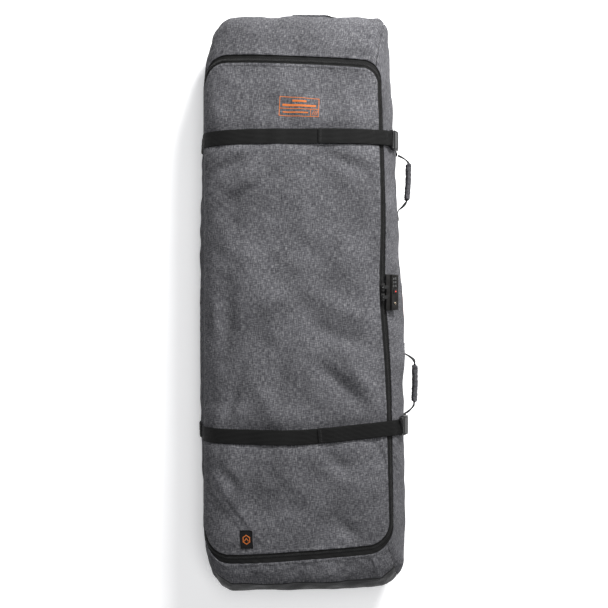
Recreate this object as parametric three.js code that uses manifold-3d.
// A long padded travel bag for snowboards, lying on its back. Millimetres; +Y runs to the head end,
// +X to the zipped side, +Z out of the lid. The lid is hinged along the left wall by its own fabric.
import * as THREE from "three";
import { mergeVertices } from "three/addons/utils/BufferGeometryUtils.js";
import Module from "manifold-3d";

// ---- Driving dimensions ----

// Plan corners [x, y, corner radius]: fr foot right, hr head right, hl head left, fl foot left.
const WIDEST = { fr: [270, -736, 65], hr: [222, 738, 24], hl: [-234, 741, 50], fl: [-240, -752, 58] };
const WIDEST_BOW = { right: 14, head: 2, left: 33, foot: 1 };
const ZIP = { fr: [229, -612, 60], hr: [197, 594, 45], hl: [-255, 612, 60], fl: [-255, -648, 75] };
const BACK = { fr: [248, -714, 50], hr: [202, 716, 20], hl: [-214, 718, 40], fl: [-218, -728, 48] };
const BACK_BOW = { right: 12, head: 1, left: 20, foot: 1 };
const ZIP_DIP = 10; // the zip is drawn in this far where the lock sits
const BASE_SIZE = { halfLength: 750, widestHeight: 92, hingeHeight: 118, crown: 230 };
const CROWN_DROP = { head: 40, foot: 25 };
const SHOULDER = { right: 1.2, head: 0.75, left: 1.7, foot: 0.8 }; // 1 is an ellipse, less is squarer
const RIDGE = { x: -20, halfLength: 440 };

const FABRIC = 2;
const FOAM = 8;
const LINING = 1.5;
const BOARD = 2;
const GAP = 0.8; // air between the layers
const FOAM_TOP = FABRIC + GAP;
const FOAM_BOTTOM = FOAM_TOP + FOAM;
const LINING_TOP = FOAM_BOTTOM + GAP;
const LINING_BOTTOM = LINING_TOP + LINING;

const FABRIC_TO_TEETH = 8; // from the zip's centre line to the edge of the fabric
const TAPE_REACH = 11; // from the zip's centre line to the outer edge of its tape
const HINGE_SLIT = 1.5; // half of the slit along the hinge line
const HINGE_CLEAR = 4; // foam and lining stop this far from the hinge line
const EDGE_STRIP = 22; // foam and lining start this far from the zip

const STRAP = { width: 38, thick: 2, lift: 0.8, head: 412, footLeft: -336, footRight: -314 };
const LOCK = { y: 24, length: 88, width: 32, height: 12, tilt: 33 };
const LOCK_TILT = THREE.MathUtils.degToRad(LOCK.tilt);
const HANDLES = { handle_head: [246, 386], handle_foot: [-292, -138] };
const HANDLE = { standOff: 26, web: 25, thick: 2.4, grip: 13, gripWidth: 34, gripLength: 96 };
const END_HANDLE = { x: 22, span: 150, lift: 1.5, standOff: 7.5, grip: 7, gripWidth: 28 };
const WHEEL = { x: [-175, 180], y: -712, z: 38, radius: 34, width: 24, rim: 22, axle: 4 };
const HOUSING = { width: 56, y: [-744, -670], z: [2.6, 80], wall: 3 };

const ARC_STEPS = 4;
const LONG_STEPS = 8;
const SHORT_STEPS = 4;

// ---- Materials ----

const looks = (color, roughness, metalness = 0) => ({ color, roughness, metalness });
const LOOK = {
  canvas: looks(0x67676a, 0.9),
  webbing: looks(0x232323, 0.8),
  zipper: looks(0x1c1c1b, 0.6),
  foam: looks(0xd8d4c8, 0.95),
  lining: looks(0x2c2d30, 0.85),
  board: looks(0x3a3a3c, 0.6),
  plastic: looks(0x1b1b1b, 0.45),
  metal: looks(0xb5b5b2, 0.3, 0.9),
  tarpaulin: looks(0x1e1e1e, 0.55),
  tyre: looks(0x2a2a2a, 0.85),
  red: looks(0xc03028, 0.4),
  badge: looks(0x161616, 0.7),
};

// ---- Small helpers ----

const wasm = await Module();
wasm.setup();

const vec = (x, y, z) => new THREE.Vector3(x, y, z);
const mix = THREE.MathUtils.lerp;
const bag = new THREE.Group();

function addPiece(name, geometry, look, parent = bag) {
  const mesh = new THREE.Mesh(geometry, new THREE.MeshStandardMaterial(LOOK[look]));
  mesh.name = name;
  parent.add(mesh);
  return mesh;
}

function toSolid(geometry) {
  const plain = geometry.index ? geometry.toNonIndexed() : geometry.clone();
  plain.deleteAttribute("normal");
  plain.deleteAttribute("uv");
  const merged = mergeVertices(plain, 1e-3);
  return new wasm.Manifold(new wasm.Mesh({
    numProp: 3,
    vertProperties: new Float32Array(merged.attributes.position.array),
    triVerts: new Uint32Array(merged.index.array),
  }));
}

function fromSolid(solid) {
  const mesh = solid.getMesh();
  const geometry = new THREE.BufferGeometry();
  geometry.setAttribute("position", new THREE.BufferAttribute(new Float32Array(mesh.vertProperties), 3));
  geometry.setIndex(new THREE.BufferAttribute(new Uint32Array(mesh.triVerts), 1));
  geometry.computeVertexNormals();
  return geometry;
}

function cut(geometry, ...cutters) {
  return fromSolid(cutters.reduce((solid, tool) => solid.subtract(toSolid(tool)), toSolid(geometry)));
}

function join(...geometries) {
  return fromSolid(geometries.map(toSolid).reduce((a, b) => a.add(b)));
}

const boxAt = (sx, sy, sz, x = 0, y = 0, z = 0) => new THREE.BoxGeometry(sx, sy, sz).translate(x, y, z);

function rodAlong(axis, radius, length, x, y, z, sides = 20) {
  const rod = new THREE.CylinderGeometry(radius, radius, length, sides);
  if (axis === "x") rod.rotateZ(Math.PI / 2);
  if (axis === "z") rod.rotateX(Math.PI / 2);
  return rod.translate(x, y, z);
}

// ---- The bag's surface ----

// A closed plan outline, counter-clockwise from the foot-right corner, always with the same columns.
function outline(corners, bow = {}) {
  const names = ["fr", "hr", "hl", "fl"];
  const sides = ["right", "head", "left", "foot"];
  const at = names.map((name) => new THREE.Vector2(corners[name][0], corners[name][1]));
  const points = [];
  names.forEach((name, k) => {
    const corner = at[k];
    const radius = corners[name][2];
    const back = at[(k + 3) % 4].clone().sub(corner).setLength(radius);
    const ahead = at[(k + 1) % 4].clone().sub(corner).setLength(radius);
    for (let a = 0; a < ARC_STEPS; a++) {
      const t = ((a / ARC_STEPS) * Math.PI) / 2;
      const turned = corner.clone().addScaledVector(back, 1 - Math.sin(t));
      points.push(turned.addScaledVector(ahead, 1 - Math.cos(t)));
    }
    const start = corner.clone().add(ahead);
    const nextRadius = corners[names[(k + 1) % 4]][2];
    const end = at[(k + 1) % 4].clone().addScaledVector(ahead, -nextRadius / radius);
    const outward = new THREE.Vector2(ahead.y, -ahead.x).normalize();
    const steps = k % 2 ? SHORT_STEPS : LONG_STEPS;
    for (let b = 0; b < steps; b++) {
      const t = b / steps;
      const push = bow[sides[k]] || 0;
      const amount = typeof push === "function" ? push(t) : push * (1 - Math.abs(2 * t - 1) ** 3);
      points.push(start.clone().lerp(end, t).addScaledVector(outward, amount));
    }
  });
  return points;
}

// One value for each column: constant along a side and turning into the next one over the corner.
function perColumn(values) {
  const sides = ["right", "head", "left", "foot"];
  return sides.flatMap((side, k) => {
    const before = values[sides[(k + 3) % 4]];
    const steps = k % 2 ? SHORT_STEPS : LONG_STEPS;
    const arc = Array.from({ length: ARC_STEPS }, (_, a) => mix(before, values[side], a / ARC_STEPS));
    return [...arc, ...Array(steps).fill(values[side])];
  });
}

const zipDip = (t) => -ZIP_DIP * Math.exp(-(((t - 0.52) / 0.13) ** 2));
const zipPlan = outline(ZIP, { right: zipDip });
const widestPlan = outline(WIDEST, WIDEST_BOW);
const backPlan = outline(BACK, BACK_BOW);
const shoulder = perColumn(SHOULDER);
const COLUMNS = zipPlan.length;
const HINGE_X = ZIP.hl[0];
const LEFT_SIDE = 2 * (ARC_STEPS + LONG_STEPS / 2) + ARC_STEPS + SHORT_STEPS;
const HINGE_FROM = LEFT_SIDE;
const HINGE_TO = LEFT_SIDE + LONG_STEPS;

function crownAt(y) {
  const t = Math.min(Math.abs(y) / BASE_SIZE.halfLength, 1);
  return BASE_SIZE.crown - (y > 0 ? CROWN_DROP.head : CROWN_DROP.foot) * t ** 3;
}

// Height of the lid's cross-section above the plan point (x, y): upright at the hinge, crowned in the middle.
function lidHeight(x, y) {
  const right = mix(WIDEST.fr[0], WIDEST.hr[0], (y + BASE_SIZE.halfLength) / (2 * BASE_SIZE.halfLength)) + 12;
  const across = Math.min(1, x >= 0 ? x / right : x / HINGE_X);
  const rise = Math.cbrt(1 - across ** 3);
  return mix(BASE_SIZE.hingeHeight, crownAt(y), rise);
}

const at3 = (plan, z) => vec(plan.x, plan.y, z);
const wrap = (i) => ((i % COLUMNS) + COLUMNS) % COLUMNS;
const zipPoint = zipPlan.map((p) => at3(p, lidHeight(p.x, p.y)));

// A point of a surface between two whole columns.
function between(point, i, v) {
  const low = Math.floor(i);
  return i === low ? point(wrap(low), v) : point(wrap(low), v).lerp(point(wrap(low + 1), v), i - low);
}

// v runs from 0 at the zip through 1 at the widest line to 2 at the edge of the back.
function wallColumn(k, v) {
  const low = BASE_SIZE.widestHeight;
  if (v <= 1) {
    const t = (v * Math.PI) / 2;
    const out = Math.sin(t) ** shoulder[k];
    const up = Math.cos(t) ** shoulder[k];
    return at3(zipPlan[k].clone().lerp(widestPlan[k], out), mix(low, zipPoint[k].z, up));
  }
  const t = ((v - 1) * Math.PI) / 2;
  return at3(backPlan[k].clone().lerp(widestPlan[k], Math.cos(t)), low * (1 - Math.sin(t)));
}

// q runs from 0 at the zip through 1, one edge strip inwards, towards 2 at the ridge of the lid.
function lidColumn(k, q) {
  const edge = zipPoint[k];
  const along = zipPlan[wrap(k + 1)].clone().sub(zipPlan[wrap(k - 1)]).normalize();
  const inward = new THREE.Vector2(-along.y, along.x);
  const probe = 0.5;
  const slope = (lidHeight(edge.x + inward.x * probe, edge.y + inward.y * probe) - edge.z) / probe;
  const tangent = vec(inward.x, inward.y, slope).normalize();
  const strip = edge.clone().addScaledVector(tangent, EDGE_STRIP * Math.min(q, 1));
  if (q <= 1) return strip;
  const ridgeY = THREE.MathUtils.clamp(strip.y, -RIDGE.halfLength, RIDGE.halfLength);
  const plan = new THREE.Vector2(strip.x, strip.y).lerp(new THREE.Vector2(RIDGE.x, ridgeY), q - 1);
  return at3(plan, lidHeight(plan.x, plan.y));
}

const wallPoint = (i, v) => between(wallColumn, i, v);
const lidPoint = (i, q) => between(lidColumn, i, q);

const NUDGE = 0.02;

function normalAt(point, i, v) {
  const along = point(i + 1, v).sub(point(i - 1, v));
  const across = point(i, v + NUDGE).sub(point(i, Math.max(v - NUDGE, 0)));
  return along.cross(across).normalize();
}

const wallNormal = (i, v) => normalAt(wallPoint, i, v).negate();
const lidNormal = (i, q) => normalAt(lidPoint, i, q);

// ---- Layers: closed shells between two depths below a surface ----

// Faces of a flat sheet that closes a ring of columns, as rungs from its left to its right.
const HEAD_MIDDLE = 2 * ARC_STEPS + LONG_STEPS + SHORT_STEPS / 2;
const rungs = Array.from({ length: COLUMNS / 2 }, (_, k) => {
  const [left, nextLeft, right, nextRight] = [k, k + 1, -k, -k - 1].map((step) => wrap(HEAD_MIDDLE + step));
  const upper = k > 0 ? [[right, left, nextLeft]] : [];
  const lower = nextLeft !== nextRight ? [[right, nextLeft, nextRight]] : [];
  return [...upper, ...lower];
}).flat();

// columns: list of column numbers, closed when it goes all the way round. rings(i): parameters down a column.
// depth: [upper, lower] distances below the surface. A cap closes the last ring with a flat sheet.
function layer({ point, normal, columns, rings, depth, cap = false, side = 1 }) {
  const closed = columns.length === COLUMNS;
  const positions = [];
  const index = [];
  const count = rings(columns[0]).length;
  const vertex = (level, c, r) => level * columns.length * count + c * count + r;
  for (const sunk of depth) {
    for (const i of columns) {
      for (const v of rings(i)) positions.push(...point(i, v).addScaledVector(normal(i, v), -sunk).toArray());
    }
  }
  const quad = (a, b, c, d) => (side > 0 ? index.push(a, b, c, a, c, d) : index.push(a, c, b, a, d, c));
  const last = closed ? columns.length : columns.length - 1;
  for (let c = 0; c < last; c++) {
    const n = (c + 1) % columns.length;
    for (let r = 0; r + 1 < count; r++) {
      quad(vertex(0, c, r), vertex(0, n, r), vertex(0, n, r + 1), vertex(0, c, r + 1));
      quad(vertex(1, c, r), vertex(1, c, r + 1), vertex(1, n, r + 1), vertex(1, n, r));
    }
    quad(vertex(1, c, 0), vertex(1, n, 0), vertex(0, n, 0), vertex(0, c, 0));
    const end = count - 1;
    if (!cap) quad(vertex(0, c, end), vertex(0, n, end), vertex(1, n, end), vertex(1, c, end));
  }
  if (!closed) {
    const far = columns.length - 1;
    for (let r = 0; r + 1 < count; r++) {
      quad(vertex(0, 0, r), vertex(0, 0, r + 1), vertex(1, 0, r + 1), vertex(1, 0, r));
      quad(vertex(1, far, r), vertex(1, far, r + 1), vertex(0, far, r + 1), vertex(0, far, r));
    }
  }
  if (cap) {
    for (const [a, b, c] of rungs) {
      const [turn, back] = side > 0 ? [[a, b, c], [a, c, b]] : [[a, c, b], [a, b, c]];
      index.push(...turn.map((k) => vertex(0, k, count - 1)));
      index.push(...back.map((k) => vertex(1, k, count - 1)));
    }
  }
  const geometry = new THREE.BufferGeometry();
  geometry.setAttribute("position", new THREE.BufferAttribute(new Float32Array(positions), 3));
  geometry.setIndex(index);
  geometry.computeVertexNormals();
  return geometry;
}

const range = (from, to) => Array.from({ length: to - from + 1 }, (_, k) => from + k);
const ALL = range(0, COLUMNS - 1);

// Where a wall's column starts, at the given distance from the zip.
function wallStart(i, distance) {
  const reach = wallPoint(i, 0).distanceTo(wallPoint(i, 0.5)) + wallPoint(i, 0.5).distanceTo(wallPoint(i, 1));
  return Math.min(0.26, distance / reach);
}

const WALL_STOPS = [0.28, 0.4, 0.68, 1, 1.5, 2];
const LID_STOPS = [1.05, 1.16, 1.4, 1.8];
const INNER_FROM = 1.02; // the lid's foam and lining start here, beside the zip's tape
const hinged = (i, inset) => wrap(i) >= HINGE_FROM + inset && wrap(i) <= HINGE_TO - inset;

// The fabric reaches the zip's teeth and the hinge line; what is below it stops at the edge strip.
const fabricWall = (i) => [
  wallStart(i, hinged(i, 0) ? HINGE_SLIT : FABRIC_TO_TEETH),
  wallStart(i, EDGE_STRIP),
  ...WALL_STOPS,
];
const innerWall = (i) => [wallStart(i, hinged(i, 1) ? HINGE_CLEAR : EDGE_STRIP), ...WALL_STOPS];
const fabricLid = (i) => [
  (hinged(i, 0) ? HINGE_SLIT : FABRIC_TO_TEETH) / EDGE_STRIP,
  INNER_FROM,
  ...LID_STOPS,
];
const innerLid = (i) => [hinged(i, 1) ? HINGE_CLEAR / EDGE_STRIP : INNER_FROM, ...LID_STOPS];

const CORNER = {
  footRight: ARC_STEPS / 2,
  headRight: ARC_STEPS + LONG_STEPS + ARC_STEPS / 2,
  headLeft: 2 * ARC_STEPS + LONG_STEPS + SHORT_STEPS + ARC_STEPS / 2,
  footLeft: 3 * ARC_STEPS + 2 * LONG_STEPS + SHORT_STEPS + ARC_STEPS / 2,
};
const WALLS = {
  right: [CORNER.footRight, CORNER.headRight],
  head: [CORNER.headRight, CORNER.headLeft],
  left: [CORNER.headLeft, CORNER.footLeft],
  foot: [CORNER.footLeft, CORNER.footRight + COLUMNS],
};

const FABRIC_SEAM = 0.04; // a wall stops this share of a column short of its corner seam
const FOAM_SEAM = 0.12;

function wallLayer([from, to], depth, rings, seam = FABRIC_SEAM) {
  const columns = [from + seam, ...range(from + 1, to - 1), to - seam];
  return layer({ point: wallPoint, normal: wallNormal, columns, rings, depth, side: -1 });
}

// ---- Shell: outer fabric, foam, boards and lining ----

const GUARD_SEAM = 0.004; // half of the seam between the foot panel and the black guard below it

function plate(inset, low, thick) {
  const plan = backPlan.map((p, i) => {
    const along = backPlan[wrap(i + 1)].clone().sub(backPlan[wrap(i - 1)]).normalize();
    return new THREE.Vector2(p.x - along.y * inset, p.y + along.x * inset);
  });
  const sheet = new THREE.ExtrudeGeometry(new THREE.Shape(plan), { depth: thick, bevelEnabled: false });
  return sheet.translate(0, 0, low);
}

const housingBox = (x, grow = 0) => boxAt(
  HOUSING.width + 2 * grow,
  HOUSING.y[1] - HOUSING.y[0] + 2 * grow + 20,
  HOUSING.z[1] + 2 * grow + 20,
  x,
  (HOUSING.y[0] + HOUSING.y[1]) / 2 - 10,
  HOUSING.z[1] / 2 - 10,
);
const wheelCuts = WHEEL.x.map((x) => housingBox(x, GAP));

function buildShell() {
  const fabric = [0, FABRIC];
  for (const side of ["right", "left"]) {
    addPiece("gusset_" + side, cut(wallLayer(WALLS[side], fabric, fabricWall), ...wheelCuts), "canvas");
  }
  addPiece("head_panel", wallLayer(WALLS.head, fabric, fabricWall), "canvas");
  const guardFrom = WALL_STOPS[1];
  const upper = (i) => [...fabricWall(i).slice(0, 3), guardFrom - GUARD_SEAM];
  const lower = () => [guardFrom + GUARD_SEAM, ...WALL_STOPS.slice(2)];
  addPiece("foot_panel", wallLayer(WALLS.foot, fabric, upper), "canvas");
  addPiece("foot_guard", cut(wallLayer(WALLS.foot, fabric, lower), ...wheelCuts), "tarpaulin");
  addPiece("back_panel", cut(plate(GAP, 0, FABRIC), ...wheelCuts), "tarpaulin");
  addPiece("base_board", cut(plate(1, FOAM_TOP, BOARD), ...wheelCuts), "board");
  const baseFoam = FOAM_TOP + BOARD + GAP;
  addPiece("base_foam", cut(plate(1, baseFoam, FOAM_BOTTOM - baseFoam), ...wheelCuts), "foam");
  for (const side of ["right", "left", "head", "foot"]) {
    const foam = wallLayer(WALLS[side], [FOAM_TOP, FOAM_BOTTOM], innerWall, FOAM_SEAM);
    addPiece("foam_" + side, side === "head" ? foam : cut(foam, ...wheelCuts), "foam");
  }
  const tub = layer({
    point: wallPoint,
    normal: wallNormal,
    columns: ALL,
    rings: innerWall,
    depth: [LINING_TOP, LINING_BOTTOM],
    cap: true,
    side: -1,
  });
  addPiece("lining_tub", cut(tub, ...wheelCuts), "lining");
}

// ---- Lid ----

function buildLid() {
  const sheet = (name, rings, depth, look) => addPiece(name, layer({
    point: lidPoint,
    normal: lidNormal,
    columns: ALL,
    rings,
    depth,
    cap: true,
  }), look);
  sheet("lid_panel", fabricLid, [0, FABRIC], "canvas");
  sheet("lid_foam", innerLid, [FOAM_TOP, FOAM_BOTTOM], "foam");
  sheet("lid_lining", innerLid, [LINING_TOP, LINING_BOTTOM], "lining");
}

// ---- Zip: a tape half on the shell and one on the lid, both stopping at the hinge ----

const TAPE = [FABRIC + 1.5, FABRIC + 2.5];
const TEETH_GAP = 0.3;
const zipColumns = range(HINGE_TO + 1, HINGE_FROM - 1 + COLUMNS);

// On the zip's line both halves share one normal, so that their edges stay side by side.
const zipNormal = (i) => wallNormal(i, 0).add(lidNormal(i, 0)).normalize();

function buildTapes() {
  const shared = (own) => (i, v) => (v < 0.05 ? zipNormal(i) : own(i, v));
  const wallTape = (i) => [TEETH_GAP, TAPE_REACH].map((d) => wallStart(i, d));
  const lidTape = () => [TEETH_GAP, TAPE_REACH].map((d) => d / EDGE_STRIP);
  addPiece("zip_tape_shell", layer({
    point: wallPoint, normal: shared(wallNormal), columns: zipColumns, rings: wallTape, depth: TAPE, side: -1,
  }), "zipper");
  addPiece("zip_tape_lid", layer({
    point: lidPoint, normal: shared(lidNormal), columns: zipColumns, rings: lidTape, depth: TAPE,
  }), "zipper");
}

// ---- Places on the surface ----

const RIGHT_SIDE = [ARC_STEPS, ARC_STEPS + LONG_STEPS];
const LEFT_RANGE = [HINGE_TO, HINGE_FROM];

// The fractional column of a side at which the wall passes y.
function columnAt(y, v, [foot, head]) {
  let low = foot;
  let high = head;
  for (let step = 0; step < 40; step++) {
    const middle = (low + high) / 2;
    if (wallPoint(middle, v).y < y) low = middle;
    else high = middle;
  }
  return (low + high) / 2;
}

function wallSite(y, v, side = RIGHT_SIDE) {
  const i = columnAt(y, v, side);
  return { point: wallPoint(i, v), up: wallNormal(i, v) };
}

function lidSite(x, y) {
  const probe = 0.05;
  const dx = (lidHeight(x + probe, y) - lidHeight(x - probe, y)) / (2 * probe);
  const dy = (lidHeight(x, y + probe) - lidHeight(x, y - probe)) / (2 * probe);
  return { point: vec(x, y, lidHeight(x, y)), up: vec(-dx, -dy, 1).normalize() };
}

// ---- Webbing: a flat band through stations {point, up, half}, lifted off the surface it lies on ----

function ribbon(stations, width, thick, lift = 0) {
  const rows = stations.map(({ point, up, half = width / 2 }, k) => {
    const before = stations[Math.max(k - 1, 0)].point;
    const after = stations[Math.min(k + 1, stations.length - 1)].point;
    const side = up.clone().cross(after.clone().sub(before)).normalize();
    const low = point.clone().addScaledVector(up, lift);
    const high = point.clone().addScaledVector(up, lift + thick);
    const section = [[low, -half], [low, half], [high, half], [high, -half]];
    return section.map(([p, s]) => p.clone().addScaledVector(side, s));
  });
  const positions = rows.flat().flatMap((p) => p.toArray());
  const index = [0, 2, 1, 0, 3, 2];
  for (let k = 0; k + 1 < rows.length; k++) {
    for (let c = 0; c < 4; c++) {
      const [a, b] = [4 * k + c, 4 * k + ((c + 1) % 4)];
      index.push(a, b, b + 4, a, b + 4, a + 4);
    }
  }
  const end = 4 * (rows.length - 1);
  index.push(end, end + 1, end + 2, end, end + 2, end + 3);
  const geometry = new THREE.BufferGeometry();
  geometry.setAttribute("position", new THREE.BufferAttribute(new Float32Array(positions), 3));
  geometry.setIndex(index);
  geometry.computeVertexNormals();
  return geometry;
}

// ---- Compression straps ----

const BUCKLE = { tilt: 26, length: 28, width: 48, depth: 11.5, webSlot: 4, clear: 3.6, site: 0.62 };
const BUCKLE_TILT = THREE.MathUtils.degToRad(BUCKLE.tilt);
const CAVITY = { width: 38, depth: 8.4, height: 12 };
const MALE = { from: 15, length: 12, depth: 8.5, prong: 8.5, prongDepth: 3.2, prongShift: -1.6 };
const TAIL_FROM = 38; // the folded-back tail starts this far to the right of the middle

function femaleBuckle() {
  const top = BUCKLE.length / 2;
  return cut(
    boxAt(BUCKLE.depth, BUCKLE.width, BUCKLE.length),
    boxAt(CAVITY.depth, CAVITY.width, CAVITY.height + 5, 0, 0, top - CAVITY.height / 2 + 2.5),
    boxAt(BUCKLE.depth + 2, STRAP.width + 2, BUCKLE.webSlot, 0, 0, 5 - top),
  );
}

function maleBuckle() {
  const middle = MALE.from + MALE.length / 2;
  const prongs = [-14, 0, 14].map((y) => boxAt(
    MALE.prongDepth, y ? 5 : 8, MALE.prong + 1, MALE.prongShift, y, MALE.from - (MALE.prong - 1) / 2,
  ));
  const frame = cut(
    boxAt(MALE.depth, BUCKLE.width - 3, MALE.length, 0, 0, middle),
    boxAt(MALE.depth + 2, STRAP.width + 1, BUCKLE.webSlot, 0, 0, middle + 1.5),
  );
  return join(frame, ...prongs);
}

// The strap crosses the lid from the hinge to the zip, bending where the lid's own facets bend.
function strapStations(yAt) {
  const lidSite = (q, x, side) => {
    const i = columnAt(yAt(x), 0, side);
    return { point: lidPoint(i, q), up: lidNormal(i, q) };
  };
  const left = [0.4, INNER_FROM, ...LID_STOPS].map((q) => lidSite(q, HINGE_X, LEFT_RANGE));
  const right = [0.4, INNER_FROM, ...LID_STOPS].map((q) => lidSite(q, ZIP.hr[0], RIGHT_SIDE));
  return [...left, ...right.reverse()];
}

function buildStrap(name, yAt) {
  const foot = wallSite(yAt(240), BUCKLE.site).point;
  const up = vec(-Math.sin(BUCKLE_TILT), 0, Math.cos(BUCKLE_TILT));
  const out = vec(Math.cos(BUCKLE_TILT), 0, Math.sin(BUCKLE_TILT));
  const buckle = new THREE.Group();
  buckle.position.copy(foot).addScaledVector(out, BUCKLE.depth / 2 + BUCKLE.clear);
  buckle.position.addScaledVector(up, BUCKLE.length / 2);
  buckle.rotation.y = -BUCKLE_TILT;
  bag.add(buckle);
  addPiece(name + "_buckle_female", femaleBuckle(), "plastic", buckle);
  addPiece(name + "_buckle_male", maleBuckle(), "plastic", buckle);

  const overLid = strapStations(yAt);
  const shoulderStops = [0.06, 0.16].map((v) => wallSite(yAt(220), v));
  const maleTop = buckle.position.clone().addScaledVector(up, MALE.from + MALE.length + 0.6 + STRAP.thick);
  const last = { point: maleTop.addScaledVector(out, -STRAP.thick - STRAP.lift), up: out };
  const stations = [...overLid, ...shoulderStops, last];
  addPiece(name + "_web", ribbon(stations, STRAP.width, STRAP.thick, STRAP.lift), "webbing");
  const tail = stations.filter(({ point }) => point.x > TAIL_FROM);
  const bend = stations[stations.length - tail.length - 1];
  const share = (TAIL_FROM - bend.point.x) / (tail[0].point.x - bend.point.x);
  const start = bend.point.clone().lerp(tail[0].point, share);
  tail.unshift({ point: start, up: bend.up.clone().lerp(tail[0].up, share) });
  const tailLift = STRAP.lift + STRAP.thick + 0.8;
  addPiece(name + "_tail", ribbon(tail, STRAP.width, STRAP.thick, tailLift), "webbing");

  const low = [0.7, 0.8, 0.9, 1, 1.12].map((v) => wallSite(yAt(240), v));
  addPiece(name + "_anchor_right", ribbon(low, STRAP.width, STRAP.thick, STRAP.lift), "webbing");
  const hung = [0.5, 0.66, 0.82, 1, 1.2, 1.4].map((v) => wallSite(yAt(HINGE_X), v, LEFT_RANGE));
  addPiece(name + "_anchor_left", ribbon(hung, STRAP.width, STRAP.thick, STRAP.lift), "webbing");
}

// ---- Lock on the right shoulder, and the two zip sliders that park beside it ----

const LEDGE = { width: 11, height: 4 };
const DIAL = { radius: 6, width: 6, pitch: 9, first: 34 };
const SLIDER = { from: 12.5, length: 19, width: 8, height: 4, lift: 3, shift: -1, axis: 3.8, bar: 1.2 };

function buildLock() {
  const seat = wallSite(LOCK.y, 0.24);
  const lock = new THREE.Group();
  lock.position.copy(seat.point);
  lock.rotation.y = LOCK_TILT;
  bag.add(lock);
  const base = 2.2;
  const bezel = 1.5;
  addPiece("lock_plate", boxAt(LOCK.width, LOCK.length + 3, bezel, 1, 0, base + bezel / 2), "plastic", lock);
  const floor = base + bezel + 0.3;
  const inner = (LEDGE.width) / 2;
  const dialsAt = [0, 1, 2].map((k) => DIAL.first - k * DIAL.pitch);
  const dialX = inner;
  const dialZ = floor + LOCK.height - 4;
  const wellZ = floor + LOCK.height / 2 + 1.5;
  const wellSize = [2 * DIAL.radius + 1.6, DIAL.width + 0.8, LOCK.height];
  const wells = dialsAt.map((y) => boxAt(...wellSize, dialX, y, wellZ));
  const body = join(
    boxAt(LOCK.width, LOCK.length, LEDGE.height, 0, 0, floor + LEDGE.height / 2),
    boxAt(LOCK.width - LEDGE.width, LOCK.length, LOCK.height, inner, 0, floor + LOCK.height / 2),
  );
  const button = { x: inner, y: 2, size: 11, depth: 5 };
  const key = { x: inner, y: -27, radius: 5.5, depth: 6 };
  const top = floor + LOCK.height;
  const housing = cut(
    body,
    ...wells,
    boxAt(button.size + 0.8, button.size + 0.8, 2 * button.depth, button.x, button.y, top),
    rodAlong("z", key.radius + 0.3, 2 * key.depth, key.x, key.y, top),
  );
  addPiece("lock_body", housing, "plastic", lock);
  dialsAt.forEach((y, k) => {
    const dial = rodAlong("y", DIAL.radius, DIAL.width, dialX, y, dialZ + 0.4);
    addPiece("lock_dial_" + (k + 1), dial, "metal", lock);
  });
  const knobZ = top + 1.9 - button.depth / 2;
  const knob = boxAt(button.size, button.size, button.depth - 0.2, button.x, button.y, knobZ);
  addPiece("lock_button", knob, "red", lock);
  const cylinder = cut(
    rodAlong("z", key.radius, key.depth - 0.4, key.x, key.y, top - key.depth / 2 + 0.4),
    boxAt(1.4, 7, 4, key.x, key.y, top),
  );
  addPiece("lock_key_cylinder", cylinder, "metal", lock);
}

function buildSlider(name, way) {
  const middle = LOCK.y + way * SLIDER.from;
  const seat = wallSite(middle, 0);
  const place = new THREE.Group();
  place.position.copy(seat.point).add(vec(SLIDER.shift, 0, SLIDER.lift));
  bag.add(place);
  const axisZ = SLIDER.height + SLIDER.axis;
  const earLow = SLIDER.height - 1;
  const earHigh = axisZ + 1.5;
  const ears = [-1, 1].map((s) => boxAt(3, 2, earHigh - earLow, 0, s * 6.5, (earHigh + earLow) / 2));
  const bar = rodAlong("y", SLIDER.bar, 13, 0, 0, axisZ, 12);
  const body = join(boxAt(SLIDER.width, SLIDER.length, SLIDER.height, 0, 0, SLIDER.height / 2), ...ears, bar);
  addPiece("slider_" + name, body, "metal", place);
  const pull = cut(
    join(rodAlong("y", 2.7, 9, 0, 0, axisZ, 14), boxAt(13, 9, 2, 6.5, 0, axisZ)),
    rodAlong("y", SLIDER.bar + 0.4, 12, 0, 0, axisZ, 12),
  );
  addPiece("puller_" + name, pull, "plastic", place);
}

// ---- Handles: a webbing loop and a padded grip, turning about the line through the two stitched ends ----

function loopHandle(name, place, span, { standOff, grip, gripWidth }) {
  const reach = (s, d, half) => ({ point: vec(d, s, 0), half });
  const half = HANDLE.web / 2;
  const end = span / 2;
  const rise = [[0, 0.1, 3], [2, 0.29, 6.5], [7, 0.55, half], [20, 1, half]];
  const side = rise.map(([inset, share, wide]) => [end - inset, standOff * share, wide]);
  const lower = side.map(([s, d, wide]) => reach(-s, d, wide));
  const upper = side.map(([s, d, wide]) => reach(s, d, wide));
  const path = [...lower, ...upper.reverse()];
  const stations = path.map((s, k) => {
    const before = path[Math.max(k - 1, 0)].point;
    const after = path[Math.min(k + 1, path.length - 1)].point;
    const along = after.clone().sub(before).normalize();
    return { ...s, up: vec(along.y, -along.x, 0) };
  });
  addPiece(name + "_web", ribbon(stations, HANDLE.web, HANDLE.thick), "webbing", place);
  const middle = standOff + HANDLE.thick / 2;
  const padded = cut(
    boxAt(grip, HANDLE.gripLength, gripWidth, middle, 0, 0),
    boxAt(HANDLE.thick + 1.2, HANDLE.gripLength + 4, HANDLE.web + 1.2, middle, 0, 0),
  );
  addPiece(name + "_grip", padded, "canvas", place);
}

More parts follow.
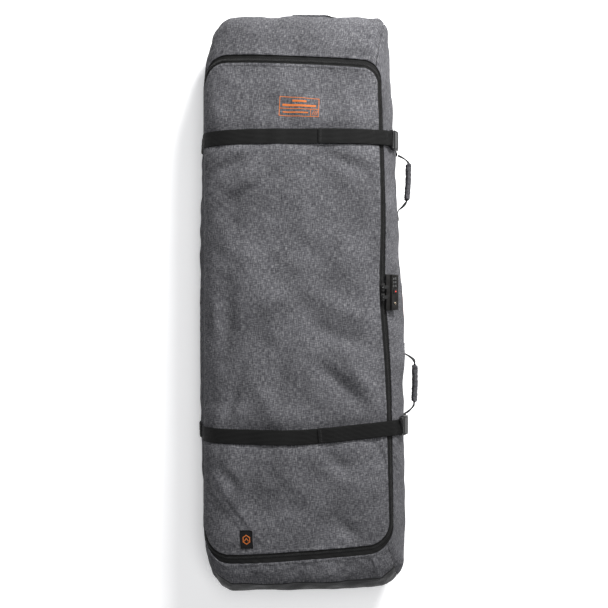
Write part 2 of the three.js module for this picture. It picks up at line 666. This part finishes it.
function buildHandles() {
  for (const [name, [from, to]] of Object.entries(HANDLES)) {
    const [a, b] = [from, to].map((y) => wallSite(y, 1).point);
    const place = new THREE.Group();
    place.position.copy(a).lerp(b, 0.5).add(vec(1.5, 0, 0));
    place.rotation.z = Math.atan2(a.x - b.x, b.y - a.y);
    bag.add(place);
    loopHandle(name, place, b.y - a.y, HANDLE);
  }
  const place = new THREE.Group();
  place.position.set(END_HANDLE.x, WIDEST.hl[1] + END_HANDLE.lift, BASE_SIZE.widestHeight);
  place.rotation.z = Math.PI / 2;
  bag.add(place);
  loopHandle("handle_end", place, END_HANDLE.span, END_HANDLE);
}

// ---- Wheels in the foot end's back corners ----

function buildWheel(side, x) {
  const depth = HOUSING.y[1] - HOUSING.y[0];
  const height = HOUSING.z[1] - HOUSING.z[0];
  const middleY = (HOUSING.y[0] + HOUSING.y[1]) / 2;
  const block = boxAt(HOUSING.width, depth, height, x, middleY, HOUSING.z[0] + height / 2);
  const wellZ = HOUSING.z[0] + height / 2 - HOUSING.wall;
  const well = boxAt(WHEEL.width + 5, depth, height, x, middleY - HOUSING.wall, wellZ);
  const hole = rodAlong("x", WHEEL.axle + 0.3, HOUSING.width + 4, x, WHEEL.y, WHEEL.z, 16);
  addPiece("wheel_housing_" + side, cut(block, well, hole), "plastic");
  const bore = rodAlong("x", WHEEL.axle + 0.4, WHEEL.width + 4, x, WHEEL.y, WHEEL.z, 16);
  const hub = cut(rodAlong("x", WHEEL.rim - 0.3, WHEEL.width, x, WHEEL.y, WHEEL.z, 24), bore);
  addPiece("wheel_hub_" + side, hub, "plastic");
  const tyre = cut(
    rodAlong("x", WHEEL.radius, WHEEL.width, x, WHEEL.y, WHEEL.z, 32),
    rodAlong("x", WHEEL.rim, WHEEL.width + 4, x, WHEEL.y, WHEEL.z, 24),
  );
  addPiece("wheel_tyre_" + side, tyre, "tyre");
  const axle = rodAlong("x", WHEEL.axle, HOUSING.width - 2, x, WHEEL.y, WHEEL.z, 16);
  addPiece("wheel_axle_" + side, axle, "metal");
}

// ---- Small parts ----

const BADGE = { x: -138, y: -592, width: 31, length: 46, thick: 1, lift: 0.5 };
const TIE_DOWN = { width: 30, thick: 1.6, half: 165, places: { head: 300, foot: -300 } };

function buildBadge() {
  const seat = lidSite(BADGE.x, BADGE.y);
  const label = boxAt(BADGE.width, BADGE.length, BADGE.thick, 0, 0, BADGE.thick / 2 + BADGE.lift);
  const badge = addPiece("badge", label, "badge");
  badge.position.copy(seat.point);
  badge.quaternion.setFromUnitVectors(vec(0, 0, 1), seat.up);
}

function buildTieDowns() {
  for (const [end, y] of Object.entries(TIE_DOWN.places)) {
    const z = LINING_BOTTOM + GAP + TIE_DOWN.thick / 2;
    addPiece("tie_down_" + end, boxAt(2 * TIE_DOWN.half, TIE_DOWN.width, TIE_DOWN.thick, 0, y, z), "webbing");
  }
}

buildShell();
buildLid();
buildTapes();
buildStrap("strap_head", () => STRAP.head);
buildStrap("strap_foot", (x) => mix(STRAP.footLeft, STRAP.footRight, THREE.MathUtils.clamp(x / 240, 0, 1)));
buildLock();
buildSlider("head", 1);
buildSlider("foot", -1);
buildHandles();
buildWheel("left", WHEEL.x[0]);
buildWheel("right", WHEEL.x[1]);
buildBadge();
buildTieDowns();

// The part's origin: the middle of the bag's box, on the surface it lies on.
const extent = new THREE.Box3().setFromObject(bag);
const middle = extent.getCenter(vec(0, 0, 0));
bag.position.set(-middle.x, -middle.y, -extent.min.z);
const part = new THREE.Group();
part.add(bag);

export default part;
